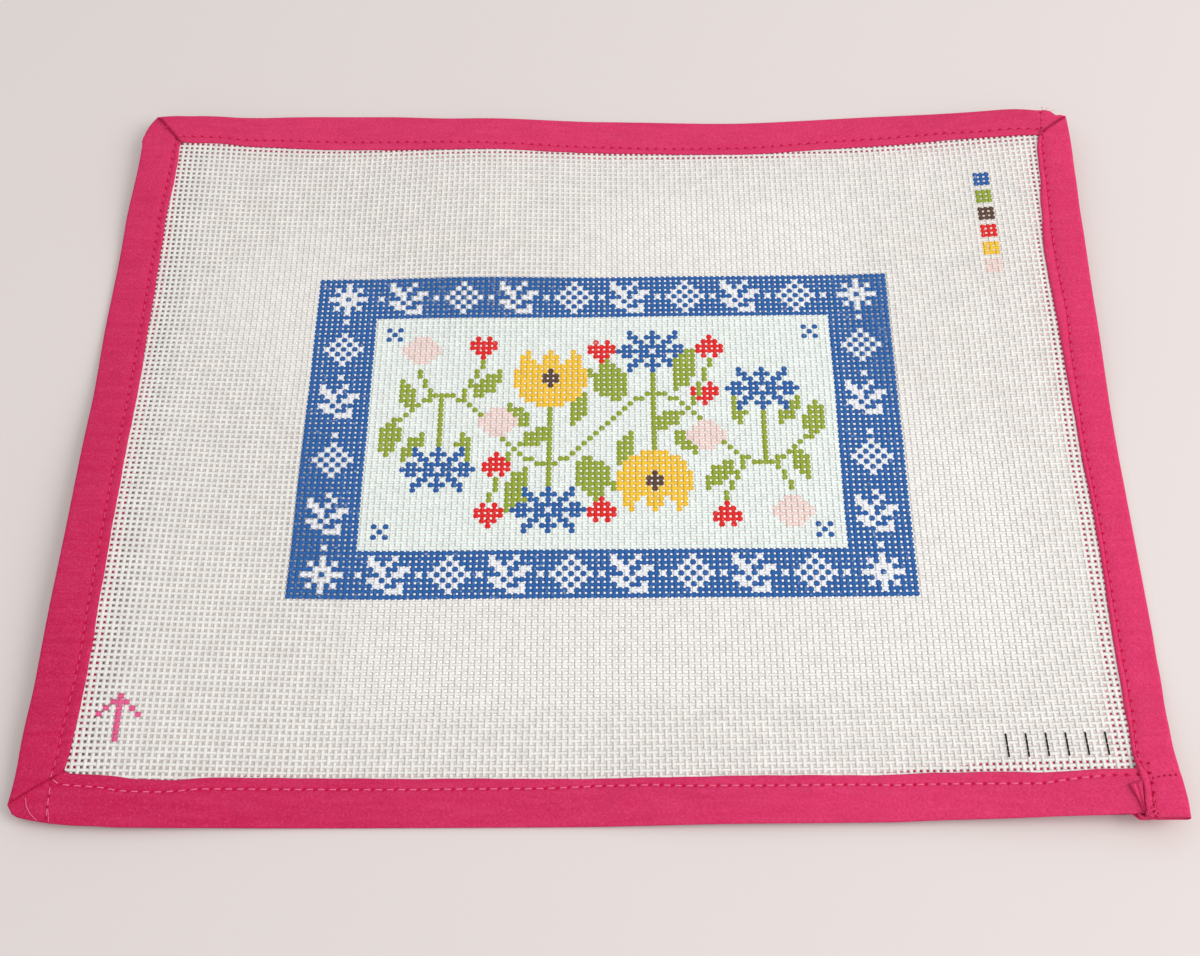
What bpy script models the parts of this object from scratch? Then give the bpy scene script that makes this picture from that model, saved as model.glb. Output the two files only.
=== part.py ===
"""Needlepoint canvas panel: a stiff open-mesh canvas lying on a table, its raw edge bound all round in tape.

Metres, +Z up. X runs along the panel's length, +Y is its far side. The origin is on the table, under the
middle of the panel. The canvas is stiff and slightly warped: it rests on the table in the middle and along
parts of its edges, and stands a few millimetres off it at the corners.
"""

import math
from collections import namedtuple

import bpy

MM = 0.001

# Driving dimensions
LENGTH = 347.4 * MM
WIDTH = 276.5 * MM
CANVAS_THICKNESS = 1.0 * MM
TAPE_THICKNESS = 1.0 * MM
CLEARANCE = 0.35 * MM
EDGE_SLACK = 0.5 * MM          # the canvas's cut edge stops this much short of the fold's hollow
BACK_EXTRA = 2.5 * MM          # the tape's back half reaches this much further in than its front half
FOLD_RADIUS = TAPE_THICKNESS + CLEARANCE
LAP = 4.8 * MM                 # the tape's last end laps this much over its first end

# Heights over the lowest face of the cloth at the same place
CANVAS_LIFT = TAPE_THICKNESS + CLEARANCE
BINDING_HEIGHT = 2 * TAPE_THICKNESS + 2 * CLEARANCE + CANVAS_THICKNESS
LAP_RISE = TAPE_THICKNESS + CLEARANCE

# The canvas leaves the tape's back half at the first distance from the edge, and meets the table at the second
LIFT_STARTS = 22.0 * MM
LIFT_ENDS = 46.0 * MM

# A swell lower than REST_LEVEL is pressed flat by the canvas's weight; RAMP rounds the line where it lifts off
REST_LEVEL = 0.25 * MM
RAMP = 0.8 * MM

# Subdivisions
CANVAS_COLUMNS = 36
CANVAS_ROWS = 29
TAPE_STEPS_LONG = 30
TAPE_STEPS_SHORT = 24

Swell = namedtuple("Swell", "x y reach_x reach_y height")
Station = namedtuple("Station", "along inset face")

# Where the canvas stands off the table, in millimetres: place, reach both ways and height
SWELLS = [
    Swell(-176, -95, 70, 60, 5.6),     # near left corner
    Swell(-176, -20, 60, 50, 4.4),     # middle of the left side
    Swell(-176, 130, 60, 50, 5.6),     # far left corner
    Swell(-44, 115, 40, 60, 3.0),      # soft crest left of the middle of the far side
    Swell(183, 135, 60, 60, 8.2),      # far right corner
    Swell(166, 45, 60, 45, 3.8),       # right side
    Swell(166, -138, 70, 40, 6.0),     # near right corner
    Swell(42, -135, 45, 35, 2.2),      # middle of the near side
]

# The binding along each side, in millimetres: place along the side, how far its fold lies inside the overall
# rectangle, and the width of its front half
NEAR_SIDE = [
    Station(-150, 0.9, 14.2), Station(-100, 0.0, 15.1), Station(-50, 0.2, 15.0), Station(0, 0.2, 14.7),
    Station(50, 0.5, 14.7), Station(100, 1.4, 14.3), Station(150, 1.2, 14.6),
]
FAR_SIDE = [
    Station(-150, 0.4, 13.2), Station(-100, 0.0, 15.0), Station(-50, 1.0, 15.5), Station(0, 2.0, 15.6),
    Station(50, 2.9, 15.3), Station(100, 2.0, 14.6), Station(150, 2.8, 12.8),
]
LEFT_SIDE = [
    Station(-115, 0.0, 15.5), Station(-75, 1.9, 15.2), Station(-35, 2.3, 14.8), Station(5, 2.0, 14.4),
    Station(45, 0.8, 15.0), Station(85, 1.5, 14.2), Station(118, 3.2, 13.6),
]
RIGHT_SIDE = [
    Station(-115, 2.6, 12.7), Station(-75, 1.7, 12.0), Station(-35, 1.6, 12.2), Station(5, 1.8, 12.8),
    Station(45, 1.7, 13.9), Station(85, 0.7, 13.8), Station(118, 0.0, 12.4),
]

CANVAS_COLOUR = (0.84, 0.82, 0.77, 1.0)
TAPE_COLOUR = (0.66, 0.04, 0.13, 1.0)


def smooth_step(value):
    """0 below 0, 1 above 1 and a smooth rise between."""
    value = min(max(value, 0.0), 1.0)
    return value * value * (3.0 - 2.0 * value)


def along_table(rows, column, place):
    """The value of one column at a place along a side, eased from row to row and level past its ends."""
    place = min(max(place / MM, rows[0].along), rows[-1].along)
    for first, second in zip(rows, rows[1:]):
        if place <= second.along:
            share = smooth_step((place - first.along) / (second.along - first.along))
            low = getattr(first, column)
            high = getattr(second, column)
            return (low + (high - low) * share) * MM
    return getattr(rows[-1], column) * MM


def stand_off(x, y):
    """Height of the cloth's lowest face over the table: exactly 0 where it rests."""
    height = 0.0
    for swell in SWELLS:
        across = (x / MM - swell.x) / swell.reach_x
        deep = (y / MM - swell.y) / swell.reach_y
        height += swell.height * math.exp(-across * across - deep * deep) * MM
    over = height - REST_LEVEL
    if over <= 0.0:
        return 0.0
    if over < RAMP:
        return over * over / (2.0 * RAMP)
    return over - RAMP / 2.0


def near_fold(x):
    return -WIDTH / 2 + along_table(NEAR_SIDE, "inset", x)


def far_fold(x):
    return WIDTH / 2 - along_table(FAR_SIDE, "inset", x)


def left_fold(y):
    return -LENGTH / 2 + along_table(LEFT_SIDE, "inset", y)


def right_fold(y):
    return LENGTH / 2 - along_table(RIGHT_SIDE, "inset", y)


def canvas_lift(x, y):
    """How far the canvas stands over the cloth's lowest face, because the tape's back half is under its edge."""
    run = LIFT_ENDS - LIFT_STARTS
    inside_x = smooth_step((LENGTH / 2 - abs(x) - LIFT_STARTS) / run)
    inside_y = smooth_step((WIDTH / 2 - abs(y) - LIFT_STARTS) / run)
    return CANVAS_LIFT * (1.0 - inside_x * inside_y)


def material(name, colour, roughness):
    made = bpy.data.materials.new(name)
    made.use_nodes = True
    shader = made.node_tree.nodes["Principled BSDF"]
    shader.inputs["Base Color"].default_value = colour
    shader.inputs["Roughness"].default_value = roughness
    shader.inputs["Metallic"].default_value = 0.0
    return made


def shaped_grid(name, columns, rows, place, collection, surface):
    """A flat grid of cloth, each of whose points goes where place(column, row) says."""
    bpy.ops.mesh.primitive_grid_add(x_subdivisions=columns, y_subdivisions=rows, size=1.0)
    piece = bpy.context.active_object
    piece.name = name
    piece.data.name = name
    for vertex in piece.data.vertices:
        column = round((vertex.co.x + 0.5) * columns)
        row = round((vertex.co.y + 0.5) * rows)
        vertex.co = place(column, row)
    piece.data.materials.append(surface)
    for owner in list(piece.users_collection):
        owner.objects.unlink(piece)
    collection.objects.link(piece)
    return piece


def thicken(piece, thickness, side):
    """side is 1 to grow along the surface's normals and -1 to grow against them."""
    shell = piece.modifiers.new("Thickness", "SOLIDIFY")
    shell.thickness = thickness
    shell.offset = side
    shell.use_even_offset = True
    shell.use_rim = True


def make_canvas(collection):
    """The canvas: its underside is shaped as it lies, and its thickness grows upward from there."""
    edge = FOLD_RADIUS + EDGE_SLACK

    def place(column, row):
        across = column / CANVAS_COLUMNS
        deep = row / CANVAS_ROWS
        x_guess = (across - 0.5) * LENGTH
        y_guess = (deep - 0.5) * WIDTH
        left = left_fold(y_guess) + edge
        right = right_fold(y_guess) - edge
        near = near_fold(x_guess) + edge
        far = far_fold(x_guess) - edge
        x = left + (right - left) * across
        y = near + (far - near) * deep
        return x, y, stand_off(x, y) + canvas_lift(x, y)

    surface = material("canvas", CANVAS_COLOUR, 0.85)
    piece = shaped_grid("canvas", CANVAS_COLUMNS, CANVAS_ROWS, place, collection, surface)
    thicken(piece, CANVAS_THICKNESS, 1)
    piece.data.shade_smooth()
    return piece


def fold_profile(face, rise):
    """The tape's outer face from its front hem round the fold to its back hem.

    Each point is (distance in from the fold, height over the lowest face, whether it is on the front half).
    """
    top = BINDING_HEIGHT
    bend = FOLD_RADIUS * (1.0 - math.sqrt(0.5))
    back = face + BACK_EXTRA
    return [
        (face, top + rise, True),
        (face - LAP, top + rise, True),
        (face / 3, top, True),
        (FOLD_RADIUS, top, True),
        (bend, top - bend, True),
        (0.0, top - FOLD_RADIUS, True),
        (0.0, FOLD_RADIUS, False),
        (bend, bend, False),
        (FOLD_RADIUS, 0.0, False),
        (back / 2, 0.0, False),
        (back, 0.0, False),
    ]


def lap_share(y):
    """0 along the right side, rising to 1 where its end laps over the near side's first end."""
    lap_starts = -WIDTH / 2 + 30.0 * MM
    lap_full = -WIDTH / 2 + 19.0 * MM
    return smooth_step((lap_starts - y) / (lap_starts - lap_full))


def near_point(share, point):
    """A point of the near side: share runs from its cut end by the right side to the near left mitre."""
    corner_x = left_fold(-WIDTH / 2)
    right_face = along_table(RIGHT_SIDE, "face", -WIDTH / 2)
    right_reach = right_face if point[2] else right_face + BACK_EXTRA
    cut_x = right_fold(-WIDTH / 2) - right_reach - CLEARANCE
    x = cut_x + (corner_x + point[0] - cut_x) * share
    return x, near_fold(x) + point[0]


def left_point(share, point):
    """A point of the left side: share runs from the near mitre to the far one."""
    start = near_fold(-LENGTH / 2) + point[0]
    end = far_fold(-LENGTH / 2) - point[0]
    y = start + (end - start) * share
    return left_fold(y) + point[0], y


def far_point(share, point):
    """A point of the far side: share runs from the left mitre to the right one."""
    start = left_fold(WIDTH / 2) + point[0]
    end = right_fold(WIDTH / 2) - point[0]
    x = start + (end - start) * share
    return x, far_fold(x) - point[0]


def right_point(share, point):
    """A point of the right side: share runs from the far mitre to the cut end at the near side."""
    start = far_fold(LENGTH / 2) - point[0]
    end = near_fold(LENGTH / 2)
    y = start + (end - start) * share
    return right_fold(y) - point[0], y


Side = namedtuple("Side", "stations place steps length")

SIDES = [
    Side(NEAR_SIDE, near_point, TAPE_STEPS_LONG, -LENGTH),
    Side(LEFT_SIDE, left_point, TAPE_STEPS_SHORT, WIDTH),
    Side(FAR_SIDE, far_point, TAPE_STEPS_LONG, LENGTH),
    Side(RIGHT_SIDE, right_point, TAPE_STEPS_SHORT, -WIDTH),
]


def make_binding(collection):
    """The binding: one tape from its cut end on the near side, round three mitres, to its lapped end."""
    columns = sum(side.steps for side in SIDES)
    rows = len(fold_profile(1.0, 0.0)) - 1

    def place(column, row):
        before = 0
        for side in SIDES:
            if column <= before + side.steps:
                break
            before += side.steps
        share = (column - before) / side.steps
        along = (share - 0.5) * side.length
        face = along_table(side.stations, "face", along)
        rise = 0.0
        if side.stations is RIGHT_SIDE:
            lapped = lap_share(along)
            face += LAP * lapped
            rise = LAP_RISE * lapped
        point = fold_profile(face, rise)[row]
        x, y = side.place(share, point)
        return x, y, stand_off(x, y) + point[1]

    surface = material("binding", TAPE_COLOUR, 0.8)
    piece = shaped_grid("binding", columns, rows, place, collection, surface)
    thicken(piece, TAPE_THICKNESS, -1)
    piece.data.shade_smooth()
    piece.data.set_sharp_from_angle(angle=math.radians(50))
    return piece


def main():
    for item in list(bpy.data.objects):
        bpy.data.objects.remove(item, do_unlink=True)
    collection = bpy.data.collections.new("needlepoint_canvas_panel")
    bpy.context.scene.collection.children.link(collection)
    make_canvas(collection)
    make_binding(collection)


main()
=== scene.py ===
"""Needlepoint canvas panel: how its woven canvas, painted picture and stitched tape binding look.

Sizes and tables are in millimetres, or in metres where a comment says so, in the part's frame: X along the
panel's length, +Y its far side, Z up, the origin on the table under the middle. The meshes are in metres.
"""

import math
from collections import namedtuple

import bpy
import numpy as np
from mathutils import Matrix, Vector


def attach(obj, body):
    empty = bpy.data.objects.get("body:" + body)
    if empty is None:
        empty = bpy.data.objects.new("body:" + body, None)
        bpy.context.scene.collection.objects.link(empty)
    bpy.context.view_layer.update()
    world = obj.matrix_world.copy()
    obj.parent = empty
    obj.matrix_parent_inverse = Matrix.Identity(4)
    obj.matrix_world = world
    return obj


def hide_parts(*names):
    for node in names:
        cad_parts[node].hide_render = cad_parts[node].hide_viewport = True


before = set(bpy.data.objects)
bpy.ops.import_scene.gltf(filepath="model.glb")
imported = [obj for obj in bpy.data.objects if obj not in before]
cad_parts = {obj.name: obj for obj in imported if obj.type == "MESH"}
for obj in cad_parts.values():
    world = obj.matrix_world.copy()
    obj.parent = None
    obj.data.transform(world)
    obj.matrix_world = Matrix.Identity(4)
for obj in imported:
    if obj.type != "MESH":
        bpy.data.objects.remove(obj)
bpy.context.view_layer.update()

MM = 0.001

# Camera
LENS = 48.1
CAMERA_ELEVATION = 59.80
CAMERA_AZIMUTH = -1.81
CAMERA_ROLL = -2.01
CAMERA_DISTANCE = 530.5
CAMERA_TARGET = (0.89, -19.17, 0.0)

# Overall size, the same as in part.py
LENGTH = 347.4
WIDTH = 276.5

# Woven canvas
PITCH = 25.4 / 13              # 13 threads to the inch
COLUMN_ORIGIN = 1.45           # place of the middle column and row of threads
ROW_ORIGIN = 0.1
FIRST_COLUMN, LAST_COLUMN = -84, 83
FIRST_ROW, LAST_ROW = -65, 65
COLUMNS = LAST_COLUMN - FIRST_COLUMN + 1
ROWS = LAST_ROW - FIRST_ROW + 1
BANDS = 4                      # the weave is drawn in this many bands, to keep each mesh small
THREAD_WIDTH = 1.26
THREAD_HEIGHT = 0.20
CRIMP = 0.05                   # how far a thread rises and dips where it crosses another
CANVAS_MIDDLE = CRIMP + THREAD_HEIGHT / 2
EDGE_LIFT = 0.50               # the tape's back half lies under the canvas's edge
LIFT_STARTS = 22.0
LIFT_ENDS = 46.0

# Tape binding
TAPE_THICKNESS = 0.30
FLAP_THICKNESS = 0.24
STITCH = 3.3
CANVAS_TOP = EDGE_LIFT + 2 * CANVAS_MIDDLE
LAP_RISE = 1.05                # how far the right side's end rises over the near side's end
LAP_STARTS = -114.0
LAP_FULL = -121.5
LAP_TUCK = 169.0               # the near side's first end reaches this far under the right side
BACK_TUCK = 153.0
LAP_END = -138.1
TIP_REACH = 3.0                # a corner's rounded tip fades out along the side within this
NEAR_END_STARTS = 154.0        # from here the near side's cut end stands a little higher
NEAR_END_RISE = 0.32
FOLD_HEIGHT = 0.64             # the folded edge's top over the canvas's top
FOLD_BEND = 1.15
PLEAT_DEEP = 0.7
PLEAT_RISE = 0.35

# Numbers of the lines that run along the tape, counted across it from its front hem
SOFT_STARTS = 5                # the cloth is softly uneven from here to the fold's top
ROW_LINE = 6                   # the topstitching
FOLD_TOP = 14
FOLD_LINE = 16                 # on the fold's outer side
BACK_LINE = 23                 # from here on the back half keeps its height at the near side's cut end
BACK_ROW_LINE = 24             # the bobbin side of the topstitching
PROFILE_POINTS = 29

# Stitches: share of the way from hole to hole, and height. Then the threads' radii.
STITCH_ARC = [(0.22, -0.06), (0.32, 0.10), (0.5, 0.15), (0.68, 0.10), (0.78, -0.06)]
SHORT_STITCH_ARC = [(0.2, -0.06), (0.32, 0.06), (0.5, 0.12), (0.68, 0.06), (0.8, -0.06)]
TOP_STITCH = 0.20
BOBBIN_STITCH = 0.12
SHORT_STITCH = 0.15

# Light from the window and the room, in metres and watts
WINDOW_PLACE = (1.32, -0.32, 1.05)
WINDOW_SIZE = 1.2
WINDOW_POWER = 17.8
WINDOW_COLOUR = (1.0, 0.985, 0.97)
ROOM_COLOUR = (1.0, 0.985, 0.98, 1.0)
ROOM_STRENGTH = 0.84

# Light that the canvas lets through. Each pair of places, in metres, is where a share goes from 0 to 1.
CANVAS_LEFT = (-0.154, -0.144)
CANVAS_RIGHT = (0.168, 0.160)
CANVAS_DEEP = (0.129, 0.121)
PAINT_ASIDE = (0.104, 0.100)
PAINT_DEEP = (0.066, 0.062)
UNDER_PAINT = 0.45             # share of the light that is left under the painted threads
TABLE_GLOW = (0.15, 0.33)      # strength at the left and at the right
BACK_HALF_ASIDE = (0.1665, 0.1655)
BACK_HALF_DEEP = (0.1275, 0.1265)
BACK_HALF_GLOW = (0.3, 0.55)   # strength at the left and further right, before the share below
BACK_HALF_SHARE = 0.35

# Cloth pressed flat where its swell is low
REST_LEVEL = 0.25
RAMP = 0.8

Swell = namedtuple("Swell", "x y reach_x reach_y height")
Station = namedtuple("Station", "along inset face back")
Row = namedtuple("Row", "along inward")
Corner = namedtuple("Corner", "outer_x outer_y inner_x inner_y reach_long reach_short tip")

# Where the canvas stands off the table, the same as in part.py
SWELLS = [
    Swell(-176, -95, 70, 60, 5.6),     # near left corner
    Swell(-176, -20, 60, 50, 4.4),     # middle of the left side
    Swell(-176, 130, 60, 50, 5.6),     # far left corner
    Swell(-44, 115, 40, 60, 3.0),      # soft crest left of the middle of the far side
    Swell(183, 135, 60, 60, 8.2),      # far right corner
    Swell(166, 45, 60, 45, 3.8),       # right side
    Swell(166, -138, 70, 40, 6.0),     # near right corner
    Swell(42, -135, 45, 35, 2.2),      # middle of the near side
]

# The binding along each side: place along it, how far its fold lies inside the overall rectangle, and the
# widths of its front and back halves
NEAR_SIDE = [
    Station(-157, 0.5, 15.2, 15.2), Station(-151, 0.5, 14.6, 15.2), Station(-140, 0.1, 14.3, 15.4),
    Station(-125, 0.1, 15.3, 15.7), Station(-112, 0.2, 15.3, 15.9), Station(-50, 0.2, 15.0, 15.4),
    Station(0, 0.2, 14.7, 15.2), Station(50, 0.5, 14.7, 15.3), Station(86, 0.7, 14.5, 15.2),
    Station(100, 1.1, 14.5, 15.6), Station(118, 1.2, 14.5, 16.5), Station(136, 1.5, 13.6, 17.7),
    Station(152, 1.7, 14.0, 18.1),
]
FAR_SIDE = [
    Station(-157, 0.4, 13.2, 15.2), Station(-145, 0.3, 14.2, 16.0), Station(-100, 0.0, 15.2, 17.0),
    Station(-50, 1.0, 15.5, 17.4), Station(0, 2.0, 15.6, 17.6), Station(50, 3.4, 15.3, 17.2),
    Station(100, 1.6, 14.6, 16.8), Station(150, 3.0, 12.8, 15.0),
]
LEFT_SIDE = [
    Station(-115, 0.9, 15.4, 18.6), Station(-92, 1.9, 15.6, 18.9), Station(-75, 1.9, 15.2, 18.8),
    Station(-35, 2.3, 14.8, 18.4), Station(5, 2.0, 14.9, 18.2), Station(45, 0.8, 15.2, 18.2),
    Station(85, 1.5, 14.5, 17.6), Station(118, 3.2, 14.3, 16.6),
]
RIGHT_SIDE = [
    Station(-138, 2.0, 13.1, 14.8), Station(-136, 2.0, 13.1, 16.8), Station(-127, 2.4, 11.9, 17.4),
    Station(-118, 2.7, 12.5, 17.2), Station(-107, 2.4, 12.2, 17.0), Station(-89, 1.5, 12.4, 16.6),
    Station(-75, 1.1, 12.5, 16.4), Station(-35, 1.2, 11.7, 16.0), Station(5, 1.4, 12.3, 16.2),
    Station(45, 1.1, 13.6, 16.8), Station(85, 0.3, 14.9, 16.8), Station(103, -0.1, 13.7, 16.0),
    Station(118, -0.4, 12.7, 15.4),
]

# How far in from the front hem the topstitching runs
NEAR_ROW = [
    Row(-155, 3.9), Row(-130, 3.7), Row(-60, 3.5), Row(-25, 3.2), Row(0, 2.4), Row(12, 2.4), Row(25, 3.0),
    Row(50, 3.3), Row(75, 3.1), Row(100, 3.6), Row(120, 3.9), Row(132, 3.6), Row(145, 2.5), Row(155, 2.1),
]
FAR_ROW = [
    Row(-155, 2.8), Row(-120, 3.6), Row(-75, 3.6), Row(-38, 2.8), Row(0, 2.6), Row(15, 2.3), Row(60, 2.8),
    Row(85, 3.3), Row(130, 3.3), Row(150, 2.6), Row(160, 3.2),
]
LEFT_ROW = [
    Row(-120, 3.6), Row(-95, 3.1), Row(-50, 3.0), Row(-5, 2.9), Row(20, 2.8), Row(60, 2.6), Row(100, 2.3),
    Row(120, 2.2),
]
RIGHT_ROW = [
    Row(-137, 2.7), Row(-124, 2.5), Row(-120, 1.3), Row(-112, 1.5), Row(-100, 2.1), Row(-75, 2.0),
    Row(-47, 1.7), Row(2, 1.8), Row(30, 2.8), Row(57, 3.7), Row(80, 3.6), Row(103, 3.0), Row(118, 2.1),
]

# The mitres: where the fold turns, where the hem turns, how far along the long and the short side the
# corner's own shape reaches, and how much of it is the rounded tip
NEAR_LEFT = Corner(-173.9, -131.7, -158.5, -121.9, 24.0, 14.0, 0.45)
FAR_LEFT = Corner(-166.7, 137.0, -156.5, 124.5, 9.0, 12.0, 0.0)
FAR_RIGHT = Corner(173.9, 129.9, 163.2, 121.8, 24.0, 9.0, 0.0)

# Small bumps and dips of the fold line: side, place along it, reach, and how far it stands out
Bump = namedtuple("Bump", "side along reach out")
BUMPS = [
    Bump("far", 167.0, 2.0, 0.9), Bump("far", 170.4, 1.2, -0.8), Bump("left", 125.4, 1.0, 0.5),
    Bump("far", -94.0, 30.0, 1.5), Bump("far", -146.0, 7.0, 0.3), Bump("right", -130.0, 5.0, 0.3),
]

# Colours as they show in soft light
BARE = (228, 226, 222)
PANEL = (228, 237, 233)
BLUE = (33, 92, 161)
ORNAMENT = (230, 233, 238)
YELLOW = (238, 192, 48)
BROWN = (88, 62, 50)
RED = (222, 28, 30)
GREEN = (142, 162, 48)
PALE_PINK = (234, 210, 204)
MARK_PINK = (226, 88, 142)
INK = (24, 18, 22)
TAPE_PINK = (218, 58, 106)
# painted shade, for the tape further from the window
TAPE_SHADED_PINK = (195, 32, 82)
TAPE_DARK = (150, 14, 58)
TAPE_LIGHT = (244, 104, 150)
BACK_HALF_PINK = (190, 10, 52)
# painted shade in the needle holes and along the mitres' folds
CREVICE_SHADE_PINK = (184, 12, 60)
SEWING_PINK = (228, 66, 116)
NEAR_SEWING_PINK = (242, 112, 156)
TABLE = (213, 206, 204)
TABLE_UNDER_CANVAS = (250, 247, 245)

# The picture's paints by their letters in the charts, in the order of the canvas's material slots
PAINTS = [
    ("canvas", ".", BARE), ("panel_white", "m", PANEL), ("blue", "b", BLUE),
    ("ornament_white", "w", ORNAMENT), ("yellow", "y", YELLOW), ("brown", "n", BROWN),
    ("red", "r", RED), ("green", "g", GREEN), ("pale_pink", "p", PALE_PINK), ("mark_pink", "k", MARK_PINK),
]
SLOTS = {letter: slot for slot, (name, letter, colour) in enumerate(PAINTS)}


def linear(colour):
    """A colour of 0 to 255 as the shader's linear one."""
    shares = [value / 255 for value in colour]
    return tuple(s / 12.92 if s <= 0.04045 else ((s + 0.055) / 1.055) ** 2.4 for s in shares) + (1.0,)


def smooth(value):
    """0 below 0, 1 above 1 and a smooth rise between."""
    value = np.clip(value, 0.0, 1.0)
    return value * value * (3.0 - 2.0 * value)


def along_table(rows, column, place):
    """The values of one column at places along a side, eased from row to row and level past its ends."""
    stops = np.array([row.along for row in rows], dtype=float)
    values = np.array([getattr(row, column) for row in rows], dtype=float)
    place = np.clip(place, stops[0], stops[-1])
    index = np.clip(np.searchsorted(stops, place) - 1, 0, len(stops) - 2)
    share = smooth((place - stops[index]) / (stops[index + 1] - stops[index]))
    return values[index] + (values[index + 1] - values[index]) * share


def stand_off(x, y):
    """Height of the cloth's lowest face over the table."""
    over = -REST_LEVEL
    for swell in SWELLS:
        away = ((x - swell.x) / swell.reach_x) ** 2 + ((y - swell.y) / swell.reach_y) ** 2
        over = over + swell.height * np.exp(-away)
    low = np.clip(over, 0.0, RAMP)
    return low * low / (2.0 * RAMP) + np.maximum(over - RAMP, 0.0)


def canvas_height(x, y):
    """Height of the canvas's middle over the table."""
    run = LIFT_ENDS - LIFT_STARTS
    inside_x = smooth((LENGTH / 2 - np.abs(x) - LIFT_STARTS) / run)
    inside_y = smooth((WIDTH / 2 - np.abs(y) - LIFT_STARTS) / run)
    return stand_off(x, y) + CANVAS_MIDDLE + EDGE_LIFT * (1.0 - inside_x * inside_y)


def waves(place, reaches, seed):
    """A soft uneven line, about -1 to 1, made of a few waves of the given lengths."""
    chance = np.random.default_rng(seed)
    total = 0.0
    for reach in reaches:
        total = total + np.sin(place * 2 * math.pi / reach + chance.uniform(0, 2 * math.pi))
    return total / len(reaches)


def add_object(name, data):
    """Puts an object with this data into the scene."""
    made = bpy.data.objects.new(name, data)
    bpy.context.scene.collection.objects.link(made)
    return made


# Camera and light

def make_camera():
    elevation = math.radians(CAMERA_ELEVATION)
    azimuth = math.radians(CAMERA_AZIMUTH)
    roll = math.radians(CAMERA_ROLL)
    forward = Vector((math.sin(azimuth) * math.cos(elevation), math.cos(azimuth) * math.cos(elevation),
                      -math.sin(elevation)))
    right = Vector((math.cos(azimuth), -math.sin(azimuth), 0.0))
    up = right.cross(forward)
    across = right * math.cos(roll) + up * math.sin(roll)
    upward = up * math.cos(roll) - right * math.sin(roll)
    place = (Vector(CAMERA_TARGET) - forward * CAMERA_DISTANCE) * MM
    data = bpy.data.cameras.new("camera")
    data.lens = LENS
    data.sensor_width = 36.0
    data.clip_start = 0.01
    camera = add_object("camera", data)
    turned = Matrix((across, upward, -forward)).transposed().to_4x4()
    camera.matrix_world = Matrix.Translation(place) @ turned
    bpy.context.scene.camera = camera


def make_light():
    data = bpy.data.lights.new("window", "AREA")
    data.shape = "DISK"
    data.size = WINDOW_SIZE
    data.energy = WINDOW_POWER
    data.color = WINDOW_COLOUR
    window = add_object("window", data)
    window.location = WINDOW_PLACE
    window.rotation_euler = (-Vector(WINDOW_PLACE)).to_track_quat("-Z", "Y").to_euler()
    world = bpy.data.worlds.new("room")
    world.use_nodes = True
    background = world.node_tree.nodes["Background"]
    background.inputs["Color"].default_value = ROOM_COLOUR
    background.inputs["Strength"].default_value = ROOM_STRENGTH
    bpy.context.scene.world = world
    bpy.context.scene.view_settings.view_transform = "Standard"


# Materials

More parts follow.
